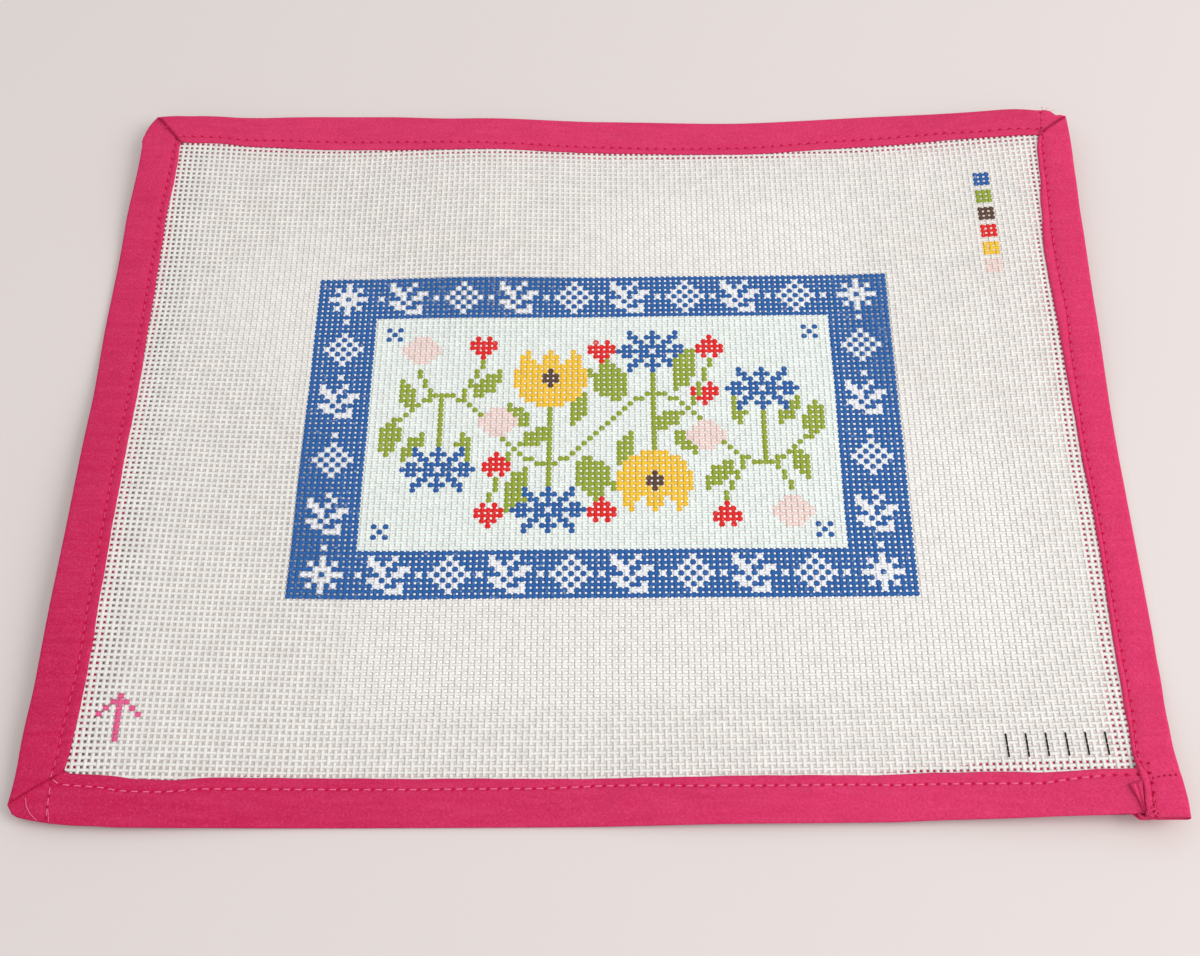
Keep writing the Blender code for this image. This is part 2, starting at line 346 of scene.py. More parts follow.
class Nodes:
    """Short calls that build one material."""

    def __init__(self, name, roughness, sheen=0.0, shine=0.25):
        self.material = bpy.data.materials.new(name)
        self.material.use_nodes = True
        self.tree = self.material.node_tree
        self.shader = self.tree.nodes["Principled BSDF"]
        self.surface("Roughness", roughness)
        self.surface("Sheen Weight", sheen)
        self.surface("Specular IOR Level", shine)
        self.place = self.tree.nodes.new("ShaderNodeTexCoord")

    def put(self, socket, value):
        if isinstance(value, bpy.types.NodeSocket):
            self.tree.links.new(value, socket)
        else:
            socket.default_value = value

    def surface(self, name, value):
        self.put(self.shader.inputs[name], value)

    def parts(self, vector):
        made = self.tree.nodes.new("ShaderNodeSeparateXYZ")
        self.put(made.inputs[0], vector)
        return made.outputs

    def noise(self, scale, detail=2.0, where=None):
        made = self.tree.nodes.new("ShaderNodeTexNoise")
        self.put(made.inputs["Vector"], self.place.outputs["Object"] if where is None else where)
        made.inputs["Scale"].default_value = scale
        made.inputs["Detail"].default_value = detail
        return made.outputs["Fac"]

    def maths(self, operation, first, second=0.0):
        made = self.tree.nodes.new("ShaderNodeMath")
        made.operation = operation
        self.put(made.inputs[0], first)
        self.put(made.inputs[1], second)
        return made.outputs[0]

    def product(self, first, second):
        return self.maths("MULTIPLY", first, second)

    def ramp(self, value, low, high, first=0.0, second=1.0):
        made = self.tree.nodes.new("ShaderNodeMapRange")
        for index, item in enumerate((value, low, high, first, second)):
            self.put(made.inputs[index], item)
        return made.outputs[0]

    def mix(self, share, first, second):
        made = self.tree.nodes.new("ShaderNodeMix")
        made.data_type = "RGBA"
        self.put(made.inputs[0], share)
        self.put(made.inputs[6], first)
        self.put(made.inputs[7], second)
        return made.outputs[2]

    def turned(self, angle, stretch):
        made = self.tree.nodes.new("ShaderNodeMapping")
        self.put(made.inputs["Vector"], self.place.outputs["Object"])
        made.inputs["Rotation"].default_value = (0.0, 0.0, math.radians(angle))
        made.inputs["Scale"].default_value = stretch
        return made.outputs["Vector"]

    def wave(self, scale, angle):
        made = self.tree.nodes.new("ShaderNodeTexWave")
        self.put(made.inputs["Vector"], self.turned(angle, (1.0, 1.0, 1.0)))
        made.inputs["Scale"].default_value = scale
        made.inputs["Distortion"].default_value = 0.6
        made.inputs["Detail"].default_value = 1.0
        made.inputs["Detail Scale"].default_value = 0.4
        return made.outputs["Fac"]

    def flattened(self, share):
        """The surface's normal, leaning less to the sides, as light spread inside cotton makes it look."""
        lean = self.tree.nodes.new("ShaderNodeVectorMath")
        lean.operation = "MULTIPLY"
        self.put(lean.inputs[0], self.place.outputs["Normal"])
        lean.inputs[1].default_value = (1.0 - share, 1.0 - share, 1.0)
        even = self.tree.nodes.new("ShaderNodeVectorMath")
        even.operation = "NORMALIZE"
        self.put(even.inputs[0], lean.outputs[0])
        return even.outputs[0]

    def bump(self, height, strength, distance, normal=None):
        made = self.tree.nodes.new("ShaderNodeBump")
        if normal is not None:
            self.put(made.inputs["Normal"], normal)
        self.put(made.inputs["Height"], height)
        made.inputs["Strength"].default_value = strength
        made.inputs["Distance"].default_value = distance
        self.surface("Normal", made.outputs["Normal"])


def times(colour, factor):
    return tuple(min(value * factor, 1.0) for value in colour[:3]) + (1.0,)


def thread_material(name, colour):
    """Sized cotton thread, or the same thread with paint on it, which wears thin on the canvas's back."""
    painted = name != "canvas"
    made = Nodes(name, 0.62 if painted else 0.74, 0.05)
    paint = linear(colour)
    bare = linear(BARE)
    mottled = made.ramp(made.noise(240.0), 0.3, 0.7)
    shade = made.mix(mottled, times(paint, 0.93), times(paint, 1.05))
    if painted:
        thin = made.ramp(made.noise(900.0, 3.0), 0.60, 0.74, 0.0, 0.35)
        shade = made.mix(thin, shade, times(bare, 0.97))
        under = made.ramp(made.parts(made.place.outputs["Normal"])[2], -0.1, -0.5, 0.0, 0.9)
        seeped = made.product(under, made.ramp(made.noise(420.0, 3.0), 0.38, 0.6))
        shade = made.mix(seeped, shade, bare)
    made.surface("Base Color", shade)
    made.bump(made.noise(3600.0, 3.0), 0.45, 0.0002, made.flattened(0.75))
    return made.material


def tape_material():
    """Bias-cut cotton: two sets of fine threads across each other, softly mottled, with painted shade at
    needle holes and further from the window.

    Its back half glows a little, as it would in the light that real cotton threads let through.
    """
    made = Nodes("binding", 0.85, 0.0, 0.08)
    x, y, z = made.parts(made.place.outputs["Object"])
    from_window = made.maths("ADD", made.product(x, -0.8), made.product(y, -0.6))
    # Painted shade: the tape's colour darkens away from the window, towards the left.
    base = made.mix(made.ramp(from_window, 0.0, 0.2), linear(TAPE_PINK), linear(TAPE_SHADED_PINK))
    dark, light = linear(TAPE_DARK), linear(TAPE_LIGHT)
    weave = made.product(made.wave(690.0, 43.0), made.wave(690.0, -47.0))
    cloudy = made.ramp(made.noise(95.0, 3.0), 0.3, 0.7, 0.14, 0.0)
    shade = made.mix(cloudy, base, dark)
    slub = made.ramp(made.noise(55.0, 2.0, made.turned(43.0, (1.0, 9.0, 1.0))), 0.35, 0.7, 0.0, 0.10)
    shade = made.mix(slub, shade, light)
    shade = made.mix(made.ramp(made.noise(1500.0, 2.0), 0.36, 0.64, 0.0, 0.30), shade, dark)
    shade = made.mix(made.ramp(made.noise(2100.0, 1.0), 0.52, 0.70, 0.0, 0.20), shade, light)
    shade = made.mix(made.product(weave, 0.30), shade, dark)
    spots = made.tree.nodes.new("ShaderNodeUVMap")
    spots.uv_map = "stitch"
    place, aside, unused = made.parts(spots.outputs["UV"])
    along = made.product(made.maths("PINGPONG", place, 0.5), STITCH)
    apart = made.maths("SQRT", made.maths("ADD", made.product(along, along), made.product(aside, aside)))
    # Painted shade: the tape is darker round each needle hole.
    shade = made.mix(made.ramp(apart, 0.74, 0.36, 0.0, 0.95), shade, linear(CREVICE_SHADE_PINK))
    made.surface("Base Color", shade)
    made.surface("Emission Color", linear(BACK_HALF_PINK))
    covered = made.product(made.ramp(made.maths("ABSOLUTE", x), *BACK_HALF_ASIDE),
                           made.ramp(made.maths("ABSOLUTE", y), *BACK_HALF_DEEP))
    back_half = made.product(covered, made.ramp(aside, 7.0, 8.0, 0.0, BACK_HALF_SHARE))
    made.surface("Emission Strength", made.product(made.ramp(x, -0.16, -0.05, *BACK_HALF_GLOW), back_half))
    made.material.cycles.emission_sampling = "NONE"
    made.bump(made.maths("ADD", weave, made.noise(1900.0, 2.0)), 0.35, 0.00015)
    return made.material


def twisted_material(name, colour, near_colour=None):
    """Twisted sewing thread, or pen ink on a thread. A second colour is for the panel's near side."""
    made = Nodes(name, 0.6, 0.0, 0.1)
    x, y, z = made.parts(made.place.outputs["Object"])
    near = made.product(made.ramp(y, -0.1215, -0.1245), made.ramp(x, 0.152, 0.146))
    base = made.mix(near, linear(colour), linear(near_colour or colour))
    dark = made.mix(near, times(linear(colour), 0.8), times(linear(near_colour or colour), 0.8))
    twist = made.wave(900.0, 30.0)
    made.surface("Base Color", made.mix(twist, dark, base))
    made.bump(twist, 0.5, 0.0001)
    return made.material


def table_material():
    """The pale table. Under the canvas it is paler and glows a little, more so towards the window and less
    under the painted threads. This stands for the light that real cotton threads let through, and is seen
    through the canvas's holes.
    """
    made = Nodes("table", 0.6)
    base, under = linear(TABLE), linear(TABLE_UNDER_CANVAS)
    x, y, z = made.parts(made.place.outputs["Object"])
    aside, along = made.maths("ABSOLUTE", x), made.maths("ABSOLUTE", y)
    between = made.product(made.ramp(x, *CANVAS_LEFT), made.ramp(x, *CANVAS_RIGHT))
    covered = made.product(between, made.ramp(along, *CANVAS_DEEP))
    painted = made.product(made.ramp(aside, *PAINT_ASIDE), made.ramp(along, *PAINT_DEEP))
    shadow = made.ramp(painted, 0.0, 1.0, 1.0, UNDER_PAINT)
    glow = made.product(made.ramp(x, -0.16, 0.10, *TABLE_GLOW), shadow)
    shade = made.mix(made.noise(6.0), times(base, 0.985), times(base, 1.01))
    made.surface("Base Color", made.mix(covered, shade, under))
    warmth = made.mix(made.ramp(x, -0.16, 0.02), (1.0, 0.85, 0.77, 1.0), (1.0, 0.93, 0.90, 1.0))
    made.surface("Emission Color", warmth)
    made.surface("Emission Strength", made.product(covered, glow))
    made.material.cycles.emission_sampling = "NONE"
    made.bump(made.noise(700.0), 0.05, 0.0001)
    return made.material


# Painted picture

BORDER_SIDE = 11
BORDER_END = 9
CHART_COLUMNS = 103
CHART_ROWS = 65

STAR = [
    "...w...",
    ".w.w.w.",
    "..www..",
    "wwwbwww",
    "..www..",
    ".w.w.w.",
    "...w...",
]
DIAMOND = [
    "...w...",
    "..w.w..",
    ".w.w.w.",
    "w.w.w.w",
    ".w.w.w.",
    "..w.w..",
    "...w...",
]
SPRIG = [
    "w...w..",
    "ww.w...",
    ".ww..ww",
    "..w.ww.",
    "ww.w...",
    ".ww..w.",
    "...www.",
]
TULIP = [
    "..y...y...y..",
    ".yy..yyy..yy.",
    ".yyy.yyy.yyy.",
    ".yyyyyyyyyyy.",
    "yyyyyynyyyyyy",
    "yyyyynnnyyyyy",
    "yyyyynnnyyyyy",
    "yyyyyynyyyyyy",
    ".yyyyyyyyyyy.",
    ".yyyyyyyyyyy.",
    "..yyyyyyyyy..",
    "....yyyyy....",
]
CORNFLOWER = [
    "..b...b...b..",
    "..bb.bbb.bb..",
    "...bb.b.bb...",
    ".bb.bbbbb.bb.",
    "bbbbbbwbbbbbb",
    ".bb.bbbbb.bb.",
    "...bb.b.bb...",
    "..bb.bbb.bb..",
    "..b...b...b..",
]
HEART = [
    ".r.r.",
    "rrrrr",
    "rrrrr",
    ".rrr.",
    "..r..",
]
BUD = [
    "..ppp..",
    ".ppppp.",
    "ppppppp",
    "ppppppp",
    ".ppppp.",
    "..ppp..",
]
CROSS = [
    "b.b",
    ".b.",
    "b.b",
]
ARROW = [
    "...k...",
    "..kkk..",
    ".k.k.k.",
    "k..k..k",
    "...k...",
    "...k...",
    "...k...",
    "...k...",
]

Motif = namedtuple("Motif", "rows column row")
Leaf = namedtuple("Leaf", "column row angle length width")

# Each motif's middle on the chart. The second half of the picture is the first one turned half round.
HALF_MOTIFS = [
    Motif(TULIP, 42, 22),
    Motif(CORNFLOWER, 23, 40),
    Motif(CORNFLOWER, 60, 16),
    Motif(HEART, 30, 15),
    Motif(HEART, 32, 49),
    Motif(HEART[::-1], 51, 48),
    Motif(HEART, 69, 25),
    Motif(BUD, 19, 16),
    Motif(BUD, 33, 31),
    Motif(CROSS, 14, 52),
    Motif(CROSS, 14, 12),
]
HALF_LEAVES = [
    Leaf(18, 28, 250, 7, 3.0), Leaf(29, 25, 310, 7, 3.0), Leaf(27, 33, 80, 6, 2.4),
    Leaf(37, 35, 330, 6, 2.6), Leaf(38, 41, 110, 8, 3.4), Leaf(47, 39, 60, 9, 3.6),
    Leaf(46, 31, 290, 7, 2.8), Leaf(38, 31, 230, 6, 2.4), Leaf(54, 26, 230, 8, 3.2),
    Leaf(20, 33, 120, 6, 2.4), Leaf(64, 24, 300, 6, 2.6), Leaf(15, 30, 100, 8, 3.2),
]

# Column and row of each stem's two ends
HALF_STEMS = [
    (42, 28, 42, 39), (23, 26, 23, 36), (60, 20, 60, 25),
    (30, 18, 27, 25), (32, 46, 35, 37), (19, 20, 21, 25),
]


def stamp(chart, rows, column, row):
    """Puts a motif on the chart with its middle at a column and row, in the letters' paints."""
    top = row - len(rows) // 2
    left = column - len(rows[0]) // 2
    for deep, line in enumerate(rows):
        for across, letter in enumerate(line):
            if letter != ".":
                chart[top + deep, left + across] = SLOTS[letter]


def paint_line(chart, start, end, paint):
    steps = int(max(abs(end[0] - start[0]), abs(end[1] - start[1]))) + 1
    for share in np.linspace(0.0, 1.0, steps):
        column = round(start[0] + (end[0] - start[0]) * share)
        row = round(start[1] + (end[1] - start[1]) * share)
        chart[row, column] = paint


def paint_leaf(chart, leaf, paint):
    """A pointed leaf from its stalk end, at an angle clockwise from the chart's right."""
    rows, columns = np.mgrid[0:CHART_ROWS, 0:CHART_COLUMNS]
    angle = math.radians(leaf.angle)
    along = (columns - leaf.column) * math.cos(angle) + (rows - leaf.row) * math.sin(angle)
    aside = (rows - leaf.row) * math.cos(angle) - (columns - leaf.column) * math.sin(angle)
    share = np.clip(along / leaf.length, 0.0, 1.0)
    half = leaf.width / 2 * np.sin(math.pi * share ** 0.8) + 0.25
    chart[(along >= -0.3) & (along <= leaf.length) & (np.abs(aside) <= half)] = paint


def draw_half():
    """Half of the picture inside the border; 0 where nothing is painted."""
    chart = np.zeros((CHART_ROWS, CHART_COLUMNS), dtype=int)
    for leaf in HALF_LEAVES:
        paint_leaf(chart, leaf, SLOTS["g"])
    for column, row, end_column, end_row in HALF_STEMS:
        paint_line(chart, (column, row), (end_column, end_row), SLOTS["g"])
    vine = [(column, 32 - 7 * math.sin(2 * math.pi * (column - 51) / 37)) for column in range(14, 52)]
    for first, second in zip(vine, vine[1:]):
        paint_line(chart, first, second, SLOTS["g"])
    for motif in HALF_MOTIFS:
        stamp(chart, motif.rows, motif.column, motif.row)
    return chart


def draw_picture():
    """The whole painted rectangle: one row of numbers for each row of stitches, the far one first."""
    chart = np.full((CHART_ROWS, CHART_COLUMNS), SLOTS["b"])
    inside = (slice(BORDER_END, -BORDER_END), slice(BORDER_SIDE, -BORDER_SIDE))
    chart[inside] = SLOTS["m"]
    half = draw_half()
    for layer in (half, half[::-1, ::-1]):
        chart[inside] = np.where(layer[inside] > 0, layer[inside], chart[inside])
    rows, columns = CHART_ROWS - 1, CHART_COLUMNS - 1
    for row in (4, rows - 4):
        for column in (5, columns - 5):
            stamp(chart, STAR, column, row)
        for index in range(8):
            column = 16 + index * 10
            stamp(chart, (SPRIG, DIAMOND)[index % 2], column, row)
        for index in range(9):
            chart[row, 11 + index * 10] = SLOTS["w"]
    for column in (5, columns - 5):
        for index in range(4):
            stamp(chart, (DIAMOND, SPRIG)[index % 2], column, 15 + index * 11 + (index > 1))
        for index in range(5):
            chart[min(9 + index * 12, rows - 9), column] = SLOTS["w"]
    return chart


# The colour key, the arrow and the pen dashes, by thread numbers counted from the middle of the canvas
KEY_COLUMN = 71
KEY_ROWS = [(53, "b"), (49, "g"), (45, "n"), (41, "r"), (37, "y"), (33, "p")]
ARROW_PLACE = (-75, -54)
TICKS = range(62, 79, 3)
TICK_ROWS = (-60, -57)


def draw_canvas():
    """The paint of every crossing, by column and row from the near left one."""
    chart = np.zeros((ROWS, COLUMNS), dtype=int)
    left = -FIRST_COLUMN - CHART_COLUMNS // 2
    top = LAST_ROW - CHART_ROWS // 2
    chart[top:top + CHART_ROWS, left:left + CHART_COLUMNS] = draw_picture()
    for row, letter in KEY_ROWS:
        stamp(chart, [letter * 3] * 3, KEY_COLUMN - FIRST_COLUMN, LAST_ROW - row)
    stamp(chart, ARROW, ARROW_PLACE[0] - FIRST_COLUMN, LAST_ROW - ARROW_PLACE[1])
    return chart[::-1].T


# Woven canvas

def new_mesh(name, vertices, faces, materials):
    """A mesh piece from arrays: vertices in millimetres, faces all of four corners."""
    data = bpy.data.meshes.new(name)
    vertices = np.asarray(vertices, dtype=np.float32) * MM
    faces = np.asarray(faces, dtype=np.int32)
    data.vertices.add(len(vertices))
    data.vertices.foreach_set("co", vertices.ravel())
    data.loops.add(faces.size)
    data.loops.foreach_set("vertex_index", faces.ravel())
    data.polygons.add(len(faces))
    data.polygons.foreach_set("loop_start", np.arange(0, faces.size, 4, dtype=np.int32))
    data.update(calc_edges=True)
    data.shade_smooth()
    for item in materials:
        data.materials.append(item)
    return add_object(name, data)


def grid_faces(lines, across):
    """Faces of four corners between the points of a grid."""
    number = np.arange(lines * across).reshape(lines, across)
    corners = [number[:-1, :-1], number[1:, :-1], number[1:, 1:], number[:-1, 1:]]
    return np.stack(corners, axis=2).reshape(-1, 4)


def thicken(piece, thickness):
    shell = piece.modifiers.new("Thickness", "SOLIDIFY")
    shell.thickness = thickness * MM
    shell.offset = -1.0


def thread_rings(centres, sideways, width, height):
    """Four points round each of a thread's centres: one side, top, other side, bottom."""
    side = sideways * (width / 2)[:, :, None]
    up = np.zeros_like(centres)
    up[:, :, 2] = height / 2
    return np.stack([centres + side, centres + up, centres - side, centres - up], axis=2)


def thread_faces(threads, rings, first):
    """Sides of a set of threads, then their two end caps."""
    starts = first + np.arange(threads)[:, None, None] * rings * 4
    ring = np.arange(rings - 1)[None, :, None] * 4
    corner = np.arange(4)[None, None, :]
    following = (corner + 1) % 4
    here = starts + ring
    sides = np.stack([here + corner, here + 4 + corner, here + 4 + following, here + following], axis=3)
    begin = first + np.arange(threads)[:, None] * rings * 4
    end = begin + (rings - 1) * 4
    caps = np.concatenate([begin + np.arange(4), end + np.array([3, 2, 1, 0])])
    return sides.reshape(-1, 4), caps


def lattice(column, row):
    """Where a place on the weave lies, its threads running a little unevenly."""
    x = COLUMN_ORIGIN + column * PITCH
    y = ROW_ORIGIN + row * PITCH
    drift_x = 0.10 * waves(y + 0.7 * x, (61.0, 97.0), 11) + 0.03 * np.sin(column * 12.9898 + row * 0.37)
    drift_y = 0.10 * waves(x - 0.5 * y, (71.0, 113.0), 12) + 0.03 * np.sin(row * 78.233 + column * 0.31)
    return x + drift_x, y + drift_y


def weave_threads(columns, rows, running_x, thread_unevenness):
    """Rings of the threads at half steps of the weave. columns and rows are grids, one line per thread."""
    x, y = lattice(columns, rows)
    crossing = np.isclose(columns + rows, np.round(columns + rows)) & np.isclose(columns, np.round(columns))
    over = np.where((np.round(columns + rows) % 2) == 0, 1.0, -1.0)
    over = np.where(crossing, over, 0.0) * (-1.0 if running_x else 1.0)
    z = canvas_height(x, y) + CRIMP * over
    centres = np.stack([x, y, z], axis=2)
    sideways = np.zeros_like(centres)
    sideways[:, :, 1 if running_x else 0] = -1.0 if running_x else 1.0
    swelling = 1.0 + 0.05 * np.sin(columns * 3.7 + rows * 2.3) + thread_unevenness[:, None]
    width = THREAD_WIDTH * swelling * np.where(crossing, 1.04, 0.97)
    height = THREAD_HEIGHT * np.where(crossing, 1.0, 1.06) * np.ones_like(x)
    return thread_rings(centres, sideways, width, height)


def make_band(name, first, last, paint, materials):
    """One band of the canvas: its warp threads, and its stretch of every weft thread.

    Each stretch begins and ends in the middle of a crossing where a warp thread hides it, so that no seam
    shows between the bands.
    """
    chance = np.random.default_rng(1000 + first)
    steps = np.arange(FIRST_ROW - 0.5, LAST_ROW + 0.75, 0.5)
    warp_columns, warp_rows = np.meshgrid(np.arange(first, last + 1), steps, indexing="ij")
    warps = weave_threads(warp_columns, warp_rows, False, chance.normal(0.0, 0.035, last - first + 1))
    stop = last if last == LAST_COLUMN else last + 1
    across = np.arange(first, stop + 0.25, 0.5)
    weft_rows, weft_columns = np.meshgrid(np.arange(FIRST_ROW, LAST_ROW + 1), across, indexing="ij")
    weft_columns = weft_columns + (first + weft_rows) % 2
    same = np.random.default_rng(77).normal(0.0, 0.035, ROWS)
    wefts = weave_threads(weft_columns, weft_rows, True, same)
    warp_sides, warp_caps = thread_faces(warps.shape[0], warps.shape[1], 0)
    weft_start = warps.shape[0] * warps.shape[1] * 4
    weft_sides, weft_caps = thread_faces(wefts.shape[0], wefts.shape[1], weft_start)
    vertices = np.concatenate([warps.reshape(-1, 3), wefts.reshape(-1, 3)])
    faces = np.concatenate([warp_sides, weft_sides, warp_caps, weft_caps])

    here = paint[first - FIRST_COLUMN:last + 1 - FIRST_COLUMN]
    warp_paint = np.repeat(here.ravel(), 2 * 4)
    middles = (weft_columns[:, 1:] + weft_columns[:, :-1]) / 2
    crossings = np.round(middles).astype(int).clip(max=LAST_COLUMN)
    weft_paint = np.repeat(paint[crossings - FIRST_COLUMN, weft_rows[:, 1:] - FIRST_ROW].ravel(), 4)
    ends = np.zeros(len(warp_caps) + len(weft_caps), dtype=int)
    slots = np.concatenate([warp_paint, weft_paint, ends]).astype(np.int32)

    piece = new_mesh(name, vertices, faces, materials)
    piece.data.polygons.foreach_set("material_index", slots)
    flat = np.zeros(len(faces), dtype=bool)
    flat[len(warp_sides) + len(weft_sides):] = True
    attributes = piece.data.attributes
    sharp = attributes.get("sharp_face") or attributes.new("sharp_face", "BOOLEAN", "FACE")
    sharp.data.foreach_set("value", flat)
    piece.data.update()
    return piece


def make_canvas():
    paint = draw_canvas()
    materials = [thread_material(name, colour) for name, letter, colour in PAINTS]
    bands = []
    for index in range(BANDS):
        first = FIRST_COLUMN + index * COLUMNS // BANDS
        last = FIRST_COLUMN + (index + 1) * COLUMNS // BANDS - 1
        bands.append(make_band(f"canvas_band_{index + 1}", first, last, paint, materials))
    return bands


# Tape binding

def corner_point(corner, inward, face):
    """A point of a mitre's line, its distance in from the fold given."""
    share = inward / face
    return (corner.outer_x + (corner.inner_x - corner.outer_x) * share,
            corner.outer_y + (corner.inner_y - corner.outer_y) * share)


Side = namedtuple("Side", "name stations row steps direction border outward start end")

# Each side goes on from the one before it, from the near side's cut end round to the right side's lap. Its
# steps are half stitches, and its border is the overall rectangle's.
SIDES = [
    Side("near", NEAR_SIDE, NEAR_ROW, 2 * 97, -1, -WIDTH / 2, -1, None, NEAR_LEFT),
    Side("left", LEFT_SIDE, LEFT_ROW, 2 * 75, 1, -LENGTH / 2, -1, NEAR_LEFT, FAR_LEFT),
    Side("far", FAR_SIDE, FAR_ROW, 2 * 97, 1, WIDTH / 2, 1, FAR_LEFT, FAR_RIGHT),
    Side("right", RIGHT_SIDE, RIGHT_ROW, 2 * 76, -1, LENGTH / 2, 1, FAR_RIGHT, None),
]


def places_along(side, share):
    """Rough places along a side, for reading its tables."""
    return (share - 0.5) * side.direction * (LENGTH if side.name in ("near", "far") else WIDTH)


def side_line(side, run, inward):
    """The line at a distance in from a side's fold: y for the near and far sides, x for the others."""
    fold = side.border - side.outward * along_table(side.stations, "inset", run)
    return fold - side.outward * inward


def side_points(side, share, inward, cut):
    """Places on a side. share runs from 0 to 1 along it, and inward is the distance in from the fold."""
    face = along_table(side.stations, "face", places_along(side, share))
    axis = 0 if side.name in ("near", "far") else 1
    corners = (side.start, side.end)
    turns = [None if corner is None else corner_point(corner, inward, face) for corner in corners]
    start, end = [cut if turn is None else turn[axis] for turn in turns]
    run = start + (end - start) * share
    line = side_line(side, run, inward)
    moved = np.zeros_like(line)
    for corner, turn in zip(corners, turns):
        if corner is None:
            continue
        away = np.abs(run - turn[axis])
        reach = corner.reach_short if axis else corner.reach_long
        tip = 0.0 if axis else corner.tip
        fade = (1.0 - tip) * np.clip(1.0 - away / reach, 0.0, 1.0) ** 2
        fade = fade + tip * np.clip(1.0 - away / TIP_REACH, 0.0, 1.0) ** 2
        moved = moved + (turn[1 - axis] - side_line(side, turn[axis], inward)) * fade
    by_the_fold = np.clip(1.0 - inward / 6.0, 0.0, 1.0)
    for bump in BUMPS:
        if bump.side == side.name:
            swell = np.exp(-((run - bump.along) / bump.reach) ** 4)
            moved = moved + side.outward * bump.out * by_the_fold * swell
    return (line + moved, run) if axis else (run, line + moved)


def lap_share(y):
    """0 along the right side, rising to 1 where its end laps over the near side's first end."""
    return smooth((LAP_STARTS - y) / (LAP_STARTS - LAP_FULL))


def tape_profile(face, row, back, rise):
    """The tape's outer face across itself, from its front hem round the fold to its back hem.

    Each line: distance in from the fold, height, 1 on the front half, and 1 where the needle pulls it down.
    """
    top = CANVAS_TOP + rise
    full = top + FOLD_HEIGHT
    bend = FOLD_BEND
    zero = np.zeros_like(face)
    lines = []
    front = [
        (0.00, -0.08), (0.05, 0.26), (0.26, 0.52), (0.66, 0.70), (row * 0.5, 0.66), (row - 0.75, 0.50),
        (row, 0.36), (row + 0.75, 0.54), (row + 1.7, 0.68), (row + 3.6, 0.76),
    ]
    for index, (from_hem, height) in enumerate(front):
        lines.append((face - from_hem, top + height + zero, 1.0, 1.0 if index == ROW_LINE else 0.0))
    inner = face - row - 3.6
    for share in (0.25, 0.5, 0.75):
        lines.append((inner + (bend + 1.2 - inner) * share, full + 0.10 - 0.04 * share + zero, 1.0, 0.0))
    lines.append((bend + 1.2 + zero, full + 0.03 + zero, 1.0, 0.0))
    for angle in (90, 62, 36, 12, -12, -36, -62, -90):
        turn = math.radians(angle)
        lines.append((bend * (1.0 - math.cos(turn)) + zero, full / 2 * (1.0 + math.sin(turn)) + zero,
                      1.0 if angle > 0 else 0.0, 0.0))
    under = back - 0.25
    stitched = face - row
    back_half = [
        (3.2 + zero, 0.0, 0.0), (stitched - 1.2, 0.02, 0.0), (stitched, 0.26, -1.0),
        (stitched + 1.2, 0.03, 0.0), (under - 0.6, 0.02, 0.0), (under, 0.12, 0.0), (back, 0.40, 0.0),
    ]
    for inward, height, needle in back_half:
        lines.append((inward, height + zero, 0.0, needle))
    return lines


def tape_surface(side, seed):
    """One side's strip as lines of points across it, and each point's place among the needle holes."""
    share = np.arange(side.steps + 1) / side.steps
    middle = places_along(side, share)
    face = along_table(side.stations, "face", middle)
    row = along_table(side.row, "inward", middle)
    back = along_table(side.stations, "back", middle)
    wobble = 0.13 * waves(middle, (13.0, 29.0, 47.0), seed)
    lapped = lap_share(middle) if side.name == "right" else np.zeros_like(middle)
    profile = tape_profile(face + wobble, row + wobble, back, LAP_RISE * lapped)
    dips = np.where(np.arange(side.steps + 1) % 2 == 0, -0.09, 0.03)
    points = np.zeros((side.steps + 1, len(profile), 3))
    spots = np.zeros((side.steps + 1, len(profile), 2))
    for index, (inward, height, front, needle) in enumerate(profile):
        cut = LAP_END if side.name == "right" else LAP_TUCK if front else BACK_TUCK
        x, y = side_points(side, share, inward, cut)
        puckers = 0.07 * waves(middle + 1.7 * index, (5.3, 8.9, 14.1), seed + 20)
        if not front:
            puckers = np.abs(puckers) * 0.3
        elif not SOFT_STARTS <= index < FOLD_TOP:
            puckers = puckers * 0.2
        if side.name == "near" and index < BACK_LINE:
            height = height + NEAR_END_RISE * smooth((x - NEAR_END_STARTS) / 3.0)
        points[:, index, 0] = x
        points[:, index, 1] = y
        points[:, index, 2] = stand_off(x, y) + height + puckers + dips * needle
        spots[:, index, 0] = np.arange(side.steps + 1) / 2
        spots[:, index, 1] = (inward - (face - row)) if front else 9.0
    return points, spots


def tuck_under(first, second):
    """At a mitre the earlier run's end goes on under the later run, whose folded edge stands over it."""
    front = np.arange(PROFILE_POINTS) <= FOLD_TOP
    depth = smooth(np.linalg.norm(first[-1, :, :2] - first[-1, FOLD_LINE, :2], axis=1) / 5.0) * front
    onward = second[3, :, :2] - second[0, :, :2]
    onward = onward / np.maximum(np.linalg.norm(onward, axis=1), 0.001)[:, None]
    first[-1, :, :2] += onward * (PLEAT_DEEP * depth)[:, None]
    for line, share in ((0, 1.0), (1, 0.75), (2, 0.3)):
        second[line, :, 2] += PLEAT_RISE * share * depth


def make_tape(material):
    """The tape as one strip round the panel."""
    strips, marks = zip(*[tape_surface(side, seed) for seed, side in enumerate(SIDES, 1)])
    for first, second in zip(strips, strips[1:]):
        tuck_under(first, second)
    points = np.concatenate(strips)
    spots = np.concatenate(marks)
    faces = grid_faces(*points.shape[:2])
    piece = new_mesh("binding_tape", points.reshape(-1, 3), faces, [material])
    layer = piece.data.uv_layers.new(name="stitch")
    layer.data.foreach_set("uv", spots.reshape(-1, 2)[faces.ravel()].astype(np.float32).ravel())
    thicken(piece, TAPE_THICKNESS)
    return piece, strips


# Sewing

